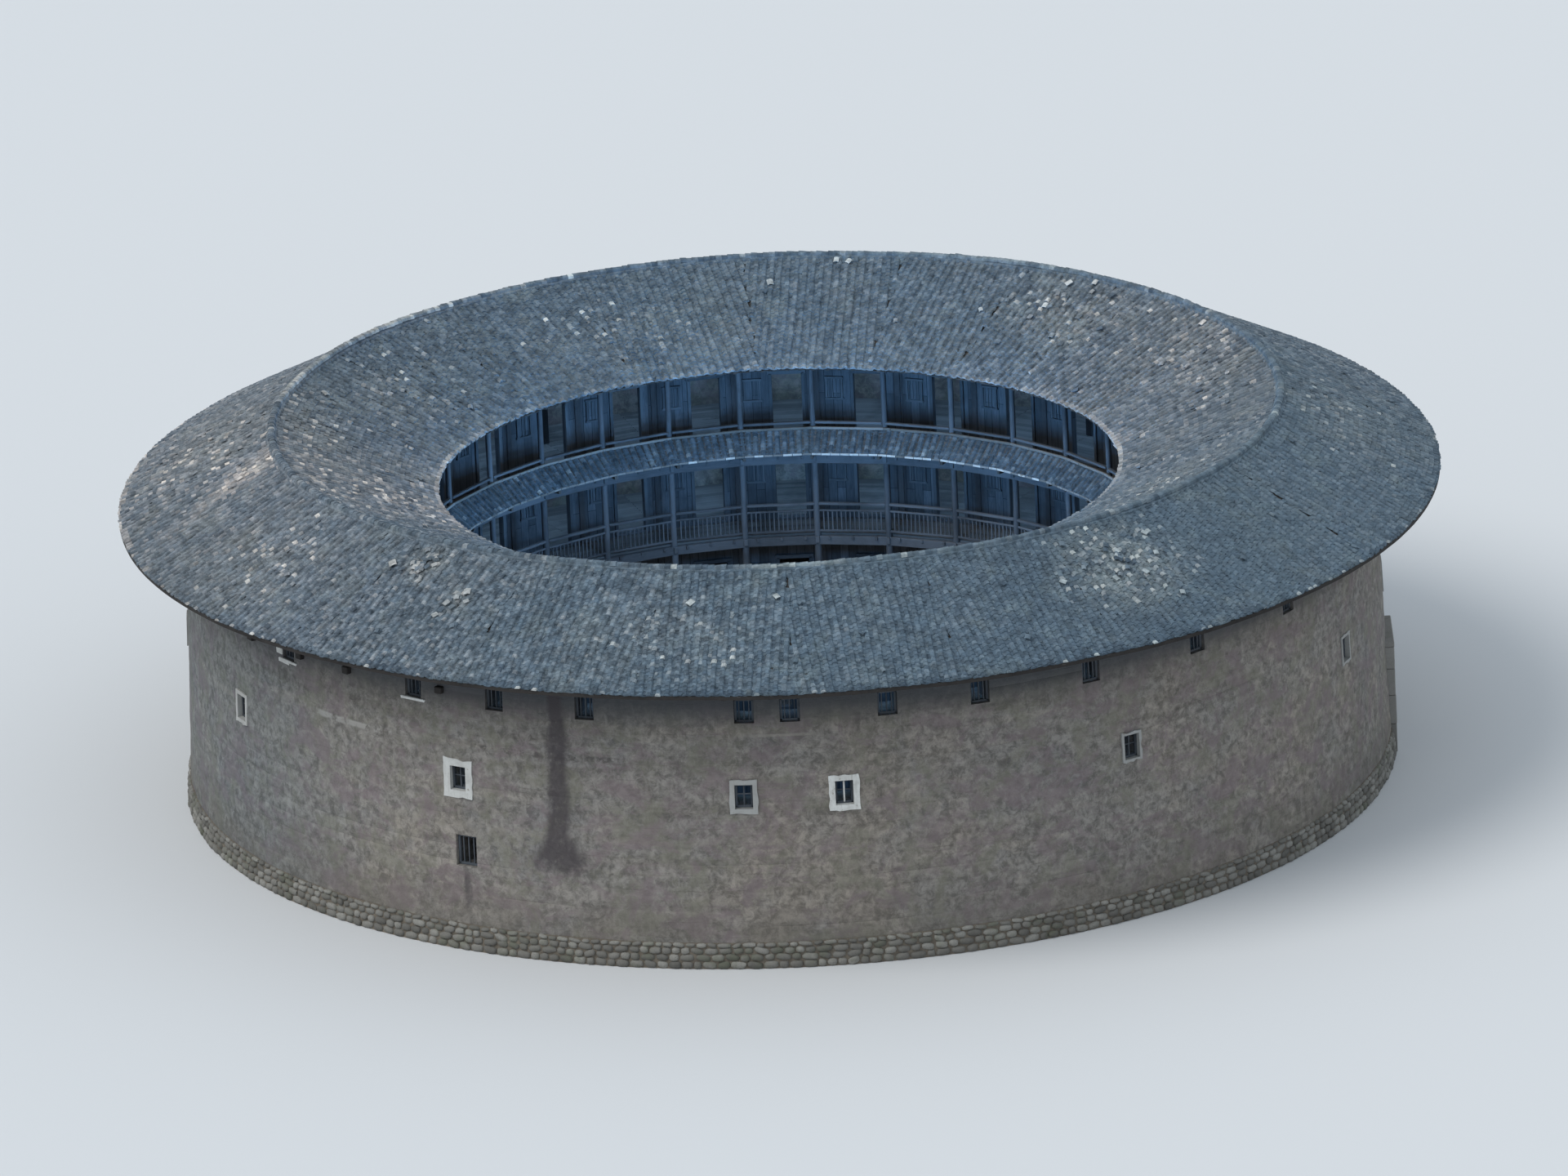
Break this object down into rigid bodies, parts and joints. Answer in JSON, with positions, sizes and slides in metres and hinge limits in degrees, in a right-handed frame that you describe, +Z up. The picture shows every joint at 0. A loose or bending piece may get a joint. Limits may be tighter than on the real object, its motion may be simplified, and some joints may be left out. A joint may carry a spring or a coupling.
{
  "type": "tulou roundhouse",
  "caption": "Round house: a thick earth wall with small windows, a ring tile roof with two slopes, and timber galleries round an open yard.",
  "frame": {"origin": "centre of the yard at ground level, under the middle of the ring", "axes": "+Z up, -Y towards the front seen in the picture, +Y towards the back, +X to the right, where the gate is"},
  "size_m": [35.2, 35.2, 10.24],
  "materials": {
    "rammed_earth": "dry rammed earth, weathered",
    "river_stone": "rough rounded stones in earth mortar",
    "granite": "dressed, matt",
    "timber": "bare aged fir, darkened",
    "planks": "bare aged fir boards",
    "roof_tile": "unglazed grey clay, weathered",
    "ridge_mortar": "unglazed grey clay with thin mortar"
  },
  "bodies": {
    "root": {"plinth_back": "river_stone", "plinth_front": "river_stone", "outer_wall_1": "rammed_earth", "outer_wall_2": "rammed_earth", "outer_wall_3": "rammed_earth", "outer_wall_4": "rammed_earth", "outer_wall_5": "rammed_earth", "outer_wall_6": "rammed_earth", "outer_wall_7": "rammed_earth", "outer_wall_8": "rammed_earth", "outer_wall_9": "rammed_earth", "outer_wall_10": "rammed_earth", "outer_wall_11": "rammed_earth", "outer_wall_12": "rammed_earth", "wall_over_gate": "rammed_earth", "gate_frame": "granite", "gate_leaf_left": "planks", "gate_leaf_right": "planks", "ground_floor": "river_stone", "gallery_floor_2": "planks", "room_floor_2": "planks", "gallery_floor_3": "planks", "room_floor_3": "planks", "gallery_frame_front": "timber", "gallery_frame_right": "timber", "gallery_frame_back": "timber", "gallery_frame_left": "timber", "room_front_front": "planks", "room_front_right": "planks", "room_front_back": "planks", "room_front_left": "planks", "skirt_roof": "roof_tile", "outer_eave_frame_front": "timber", "outer_eave_frame_back": "timber", "wall_plate": "timber", "ridge_frame": "timber", "outer_roof_front": "roof_tile", "inner_roof_front": "roof_tile", "outer_roof_right": "roof_tile", "inner_roof_right": "roof_tile", "outer_roof_back": "roof_tile", "inner_roof_back": "roof_tile", "outer_roof_left": "roof_tile", "inner_roof_left": "roof_tile", "ridge_tiles": "ridge_mortar"}
  },
  "joints": []
}
